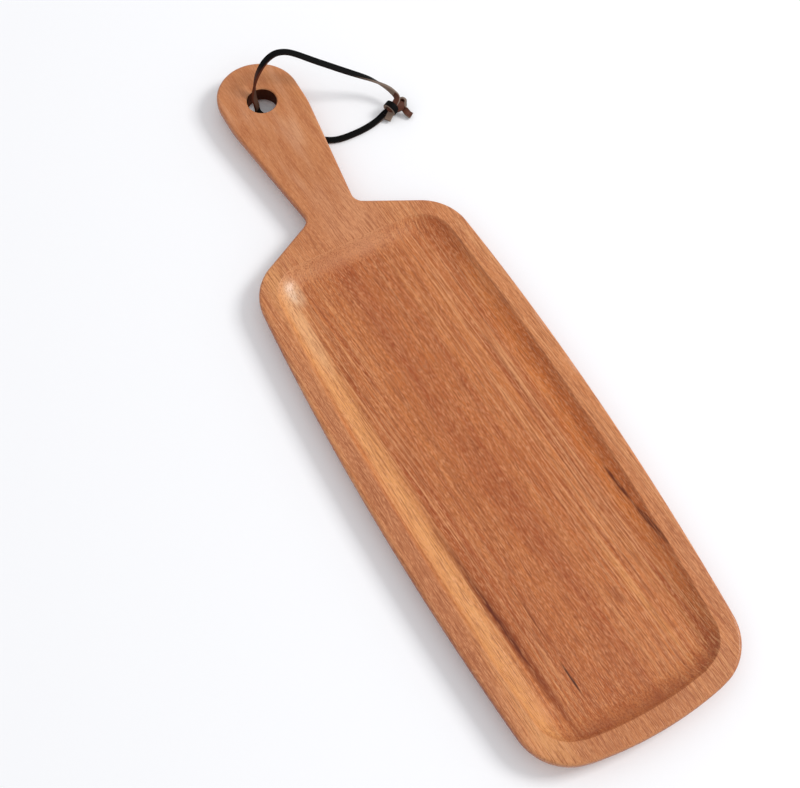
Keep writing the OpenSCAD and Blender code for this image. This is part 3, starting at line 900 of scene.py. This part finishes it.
# %% Give the board its two materials
OAK_SLOT, BORED_SLOT = 0, 1
UPRIGHT = 0.5     # the most that the normal of a face in the hole's wall points up or down
plank.data.materials.clear()
plank.data.materials.append(oak)
plank.data.materials.append(bored)
for face in plank.data.polygons:
    from_axis = math.hypot(face.center.x, face.center.y - HOLE_Y * MM)
    in_hole = from_axis < (HOLE_R + HOLE_BEVEL / 4) * MM and abs(face.normal.z) < UPRIGHT
    face.material_index = BORED_SLOT if in_hole else OAK_SLOT
print("faces in the hole:", sum(face.material_index == BORED_SLOT for face in plank.data.polygons))

# %% [markdown]
# ## The lace: its section and a smooth route
#
# A leather lace is cut from a hide as a flat strip, and its corners are rubbed round. The rows of its route
# are given one by one, so a curve that passes through all of them gives the many small steps of a limp
# strip. It carries the direction and the roll along with the place.

# %% The lace's section, and its route in small steps
LACE_W, LACE_T, LACE_ROUND = 5.5, 2.2, 0.45
LACE_STEP = 0.7     # mm between two sections
ROUND_STEPS = 3


def lace_section():
    """Points round the lace's section, with its corners rounded."""
    w, t, r = LACE_W / 2, LACE_T / 2, LACE_ROUND
    corners = ((w - r, t - r, 0), (-w + r, t - r, 90), (-w + r, -t + r, 180), (w - r, -t + r, 270))
    turns = [90 / ROUND_STEPS * k for k in range(ROUND_STEPS + 1)]
    return [(x + r * math.cos(a), y + r * math.sin(a))
            for x, y, start in corners for a in (math.radians(start + turn) for turn in turns)]


def smooth_route(rows, step):
    """Rows about one step apart, along a Catmull-Rom curve that passes through the given rows."""
    stations = []
    rows = [rows[0]] + list(rows) + [rows[-1]]
    for p0, p1, p2, p3 in zip(rows, rows[1:], rows[2:], rows[3:]):
        count = max(1, round((Vector(p2[:3]) - Vector(p1[:3])).length / step))
        for k in range(count):
            t = k / count
            stations.append([0.5 * (2 * b + (c - a) * t + (2 * a - 5 * b + 4 * c - d) * t * t
                                    + (3 * b - a - 3 * c + d) * t ** 3)
                             for a, b, c, d in zip(p0, p1, p2, p3)])
    return stations + [list(rows[-1])]


print("lace:", LACE_W, "x", LACE_T, "mm, its section has", len(lace_section()), "points")

# %% [markdown]
# ## The lace: its sides and its width
#
# The four sides of a lace differ: a smooth dyed face, a rough flesh side behind it, and two raw cut edges.
# So each face of the strip gets its material by its place in the section. Every such strip moves with the
# loop and takes the lace's finish.

# %% The sides of the lace, and the way its width points
FACE, EDGE, FLESH = 0, 1, 2
EDGE_DROP = 0.3     # mm: where a face's two heights add up to this much less than the thickness


def lace_piece(name, data):
    """An object that rides with the loop of lace and takes its finish."""
    piece = new_object(name, data)
    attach(piece, "thong")
    return piece


def across(plan, roll):
    """The direction of the lace's width, from its direction in plan and its roll."""
    plan, roll = math.radians(plan), math.radians(roll)
    return Vector((math.cos(plan) * math.cos(roll), math.sin(plan) * math.cos(roll), -math.sin(roll)))


def side_of(height):
    """Which side of the lace a face belongs to, from the sum of its two heights in the section."""
    if abs(height) < LACE_T - EDGE_DROP:
        return EDGE
    return FACE if height > 0 else FLESH


print("sides of the lace:", FACE, "grain side,", EDGE, "cut edge,", FLESH, "flesh side")

# %% [markdown]
# ## The lace: a strip swept along its route
#
# A curve with a bevel could draw the lace too, but all its sides would have one material. So at each step
# of the route the section is set square to the way the lace runs, with its width turned as the route says,
# and faces join each section to the next one. The cut ends are closed, and a closed loop joins its last
# section to its first.

# %% Sweep a flat lace along a route
LACE_CRISP_DEGREES = 50


def sweep(name, places, widths, materials, closed=False):
    """A strip of lace through places in m, with the direction of its width at each."""
    mesh = bmesh.new()
    section = lace_section()
    n, last = len(section), len(places) - 1
    rings = []
    for i, at in enumerate(places):
        ahead = places[(i + 1) % len(places)] if closed else places[min(i + 1, last)]
        behind = places[i - 1] if closed else places[max(i - 1, 0)]
        way = (ahead - behind).normalized()
        wide = (widths[i] - way * widths[i].dot(way)).normalized()
        thick = way.cross(wide)
        rings.append([mesh.verts.new(at + (wide * x + thick * y) * MM) for x, y in section])
    for low, high in zip(rings, rings[1:] + (rings[:1] if closed else [])):
        for j in range(n):
            k = (j + 1) % n
            face = mesh.faces.new((low[j], low[k], high[k], high[j]))
            face.material_index = side_of(section[j][1] + section[k][1])
    if not closed:
        mesh.faces.new(rings[0][::-1]).material_index = EDGE
        mesh.faces.new(rings[-1]).material_index = EDGE
    data = stored(name, mesh)
    data.shade_smooth()
    data.set_sharp_from_angle(angle=math.radians(LACE_CRISP_DEGREES))
    for material in materials:
        data.materials.append(material)
    return lace_piece(name, data)


def lace(name, route, materials):
    """A strip of lace along a route. Gives the piece and the places that it follows."""
    rows = smooth_route(route, LACE_STEP)
    places = [place(r) for r in rows]
    return sweep(name, places, [across(r[3], r[4]) for r in rows], materials), places


print("a lace is crisp past", LACE_CRISP_DEGREES, "degrees and smooth below")

# %% [markdown]
# ## Leather for the lace
#
# The lace is vegetable-tanned leather, dyed black on its grain side and waxed. A coarse hide would need
# cells for its pebbles, but this one is fine, with a grain of about 0.5 to 1 mm, so soft noise gives both
# the small changes of colour and the relief. One function makes each side, and its colour can change from
# one end of the lace to the other.

# %% Leather from two colours of its grain
def leather(name, dark, light, roughness, grain_mm, gloss, ends=()):
    """Leather from two colours of its grain. An end is (from x, to x, colour), where the colour changes."""
    material, tree, shader = new_material(name)
    where = add(tree, "TexCoord", {}, out="Object")
    hide = add(tree, "TexNoise", {"Vector": where, "Scale": 1 / (grain_mm * MM), "Detail": 3.0})
    colour = add(tree, "Mix", {0: hide, 6: linear(dark), 7: linear(light)}, out=2, data_type="RGBA")
    along = add(tree, "SeparateXYZ", {0: where})
    for start, stop, end_colour in ends:
        reached = add(tree, "MapRange", {"Value": along, "From Min": start * MM, "From Max": stop * MM})
        colour = stain(tree, colour, [reached], 0.85, end_colour)
    dress(tree, shader, colour, hide, 0.3, 0.2, {"Roughness": roughness, "Specular IOR Level": gloss})
    return material


print("materials so far:", [m.name for m in (oak, bored)])

# %% [markdown]
# ## The sides of the lace
#
# The wax leaves a soft low gloss. The dye stops at the surface, so the cut edges and the flesh side show
# brown. The edge is rubbed dark where the lace is handled and is paler near the knot, and the dye is worn
# to brown where the lace rubs in the hole.

# %% Materials: the sides of the lace
BLACK_DYE = ("#030303", "#090807", 0.6, 0.9, 0.08)     # dark, light, roughness, grain in mm, gloss
IN_THE_HOLE = (9, -1, "#54281a")     # mm along x, where the colour starts to change and where it has
black_face = leather("waxed_black_grain_side", *BLACK_DYE)
worn_face = leather("worn_grain_side", *BLACK_DYE, ends=(IN_THE_HOLE,))
raw_edge = leather("raw_cut_edge", "#171210", "#2a201b", 0.8, 0.5, 0.1,
                   ends=((22, 4, "#5e2c1a"), (76, 92, "#8d7a6d")))
flesh_side = leather("brown_flesh_side", "#6f5c4d", "#8f7d70", 0.9, 0.6, 0.15,
                     ends=((60, 20, "#43200f"),))
worn_brown = leather("worn_brown_leather", "#35180e", "#6a3c2a", 0.6, 0.9, 0.2)
leathers = [black_face, raw_edge, flesh_side]
print("materials:", [m.name for m in leathers + [worn_face, worn_brown]])

# %% [markdown]
# ## The two free stretches of lace
#
# The lace is one strip. It is made as two stretches that meet inside the hole, because each then has one
# clear start and end. The upper one is worn where it rubs in the hole.

# %% The two free stretches of lace
upper, upper_path = lace("lace_upper", UPPER_ROUTE, [worn_face, raw_edge, flesh_side])
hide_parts("thong_upper")
lower, lower_path = lace("lace_lower", LOWER_ROUTE, leathers)
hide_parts("thong_lower")
print("lace stretches, m:", round(run_length(upper_path), 4), round(run_length(lower_path), 4))

# %% [markdown]
# ## The knot: where its strands go
#
# Both ends of the lace are tied together in one overhand knot. A lump would do for it from afar, but its
# strands show from a step away, so each that shows has a route. The black side makes a turn round the knot
# on the left. The upper end bends down under that turn with its brown side up, and the other end doubles
# back on its edge at the right before it comes out as a tail. The rows are those of the lace's route.

# %% Sizes and routes of the knot
CORE_AT, CORE_L, CORE_T, CORE_SWING = (100, -50.7, 6.9), 17.0, 9.6, -10.0
TURN_AT, TURN_R, TURN_UP, TURN_SWING = (95.4, -50, 7.2), 5.2, 8.0, 23.0
BEND_ROUTE = [
    (103.5, -41.2, 11.4, 6, 108), (103.86, -42.7, 11.16, 0, 114), (103.5, -45, 11.3, -18, 132),
    (102.2, -47.6, 11.7, -38, 154), (99.4, -49.9, 11.5, -55, 171), (96, -51.4, 9.5, -63, 178),
]
LOWER_END_ROUTE = [(88.6, -49.8, 2.8, 107, 0), (90.2, -49.4, 3.2, 107, 0), (94.6, -49.4, 5.2, 100, 0)]
TAIL_ONE_ROUTE = [
    (101.6, -49.4, 6.2, 110, 90), (104.9, -47.2, 7.4, 110, 90), (107.6, -47.4, 8.3, 75, 90),
    (108.9, -49.9, 8.1, 20, 90), (107.7, -52.6, 7, -20, 90), (106, -54.5, 5.7, 0, 126),
    (106.3, -57.1, 4, 24, 160), (107.4, -59.5, 2.6, 33, 177), (108.8, -61.6, 2, 36, 180),
]
TAIL_TWO_ROUTE = [
    (97.6, -51.6, 6.4, 124, 0), (93.6, -53, 4.8, 128, 0), (90.8, -54.6, 3.1, 130, 0),
    (88.4, -56.4, 2.2, 130, 0),
]
print("the knot's core is", CORE_L, "mm long and", CORE_T, "mm thick")

# %% [markdown]
# ## The knot: its turn and its core
#
# The turn is the same strip swept round a circle, whose axis leans up and swings round to the left a
# little. Behind the strands, leather pressed together fills the knot, and a stretched ball stands for it.

# %% The knot's turn and core
TURN_STEPS = 64


def knot_turn(name, materials):
    up, swing = math.radians(TURN_UP), math.radians(TURN_SWING)
    axis = Vector((math.cos(up) * math.cos(swing), math.cos(up) * math.sin(swing), math.sin(up)))
    u = axis.cross(Vector((0, 0, 1))).normalized()
    v = axis.cross(u)
    turns = [2 * math.pi * k / TURN_STEPS for k in range(TURN_STEPS)]
    places = [place(TURN_AT) + (u * math.cos(a) + v * math.sin(a)) * TURN_R * MM for a in turns]
    return sweep(name, places, [axis] * len(places), materials, closed=True)


def knot_core(name, material):
    mesh = bmesh.new()
    bmesh.ops.create_icosphere(mesh, subdivisions=4, radius=0.5)
    shape = Matrix.Diagonal((CORE_L * MM, CORE_T * MM, CORE_T * MM, 1))
    data = stored(name, mesh)
    data.shade_smooth()
    data.materials.append(material)
    data.transform(Matrix.Translation(place(CORE_AT)) @ Matrix.Rotation(math.radians(CORE_SWING), 4, "Z")
                   @ shape)
    return lace_piece(name, data)


print("the turn is", 2 * TURN_R, "mm across")

# %% [markdown]
# ## The knot: all its pieces
#
# Six pieces stand for the knot: its core, its turn, the bend of the upper end, the lower end and the two
# cut tails. All of them take the place of one CAD node.

# %% Tie the knot
brown_backed = [black_face, raw_edge, worn_brown]
knot_pieces = [
    knot_core("knot_core", worn_brown),
    knot_turn("knot_turn", leathers),
    lace("knot_bend", BEND_ROUTE, brown_backed)[0],
    lace("knot_lower_end", LOWER_END_ROUTE, leathers)[0],
    lace("knot_tail_one", TAIL_ONE_ROUTE, brown_backed)[0],
    lace("knot_tail_two", TAIL_TWO_ROUTE, leathers)[0],
]
for piece in knot_pieces:
    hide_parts("thong_knot")
print("knot:", [piece.name for piece in knot_pieces])

# %% [markdown]
# ## The two stretches of lace and their knot
#
# Both stretches start where they meet, inside the hole, and end in the same knot.

# %% Both stretches and their knot
for piece, path in ((upper, upper_path), (lower, lower_path)):
    print(piece.name, "is a cord with", len(knot_pieces), "pieces at its end")

# %% [markdown]
# ## Floor
#
# The photograph is a product shot on a plain white ground. The floor is matt white, and only what the
# camera and reflections see of it is lifted a little more, so that it clears to white as a backdrop does
# and still keeps the board's shadow. It lies just under the board, so that no two faces share a plane.

# %% Floor
FLOOR_HALF, FLOOR_GAP = 4, 0.0004     # m
FLOOR_LIFT = 0.03     # how much whiter the camera sees the floor
corners = [(x * FLOOR_HALF, y * FLOOR_HALF, 0) for x, y in ((-1, -1), (1, -1), (1, 1), (-1, 1))]
floor_mesh = bpy.data.meshes.new("floor")
floor_mesh.from_pydata(corners, [], [(0, 1, 2, 3)])
floor = new_object("floor", floor_mesh)
floor.location.z = -FLOOR_GAP

paint, floor_tree, floor_shader = new_material("matt_white_paint")
floor_shader.inputs["Base Color"].default_value = linear("#fbfbfc")
floor_shader.inputs["Roughness"].default_value = 0.9
ray = add(floor_tree, "LightPath", {}).node.outputs
seen = add(floor_tree, "Math", {0: ray["Is Camera Ray"], 1: ray["Is Glossy Ray"]}, operation="ADD")
seen = add(floor_tree, "Math", {0: seen, 1: ray["Is Transmission Ray"]}, operation="ADD")
lift = add(floor_tree, "Math", {0: seen, 1: FLOOR_LIFT}, operation="MULTIPLY")
floor_shader.inputs["Emission Color"].default_value = linear("#ffffff")
floor_tree.links.new(lift, floor_shader.inputs["Emission Strength"])
floor_mesh.materials.append(paint)
floor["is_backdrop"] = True
print("floor:", paint.name)

# %% [markdown]
# ## Light
#
# The light is one large soft box from the right and bounced light from everywhere else. A sun lamp would
# draw hard shadows, so a broad area lamp and a plain pale world give it, at a level at which a colour
# renders about as it is written. The Standard view keeps those colours.

# %% Lamp and world
LIGHT_FROM = Vector((0.72, -0.18, 0.67)).normalized()
LIGHT_DISTANCE, LIGHT_SIZE, LIGHT_WATTS = 3.2, 1.05, 50.0
WORLD_STRENGTH = 0.75
lamp = bpy.data.objects.new("softbox", bpy.data.lights.new("softbox", "AREA"))
lamp.data.shape = "SQUARE"
lamp.data.size = LIGHT_SIZE
lamp.data.energy = LIGHT_WATTS
light_turn = LIGHT_FROM.to_track_quat("Z", "Y").to_matrix().to_4x4()
lamp.matrix_world = Matrix.Translation(LIGHT_FROM * LIGHT_DISTANCE) @ light_turn
bpy.context.scene.collection.objects.link(lamp)

world = bpy.context.scene.world or bpy.data.worlds.new("studio")
bpy.context.scene.world = world
world.use_nodes = True
sky = world.node_tree.nodes["Background"]
sky.inputs["Color"].default_value = linear("#f6f7fa")
sky.inputs["Strength"].default_value = WORLD_STRENGTH
bpy.context.scene.view_settings.view_transform = "Standard"
print("softbox", lamp.data.energy, "W, world", WORLD_STRENGTH)

# %% [markdown]
# ## Finish
#
# The last cell measures the box of the dressed model, leaving out the floor.

# %% Measure the box and finish
low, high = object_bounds()
print("visual box, m:", [round(v, 4) for v in high - low])
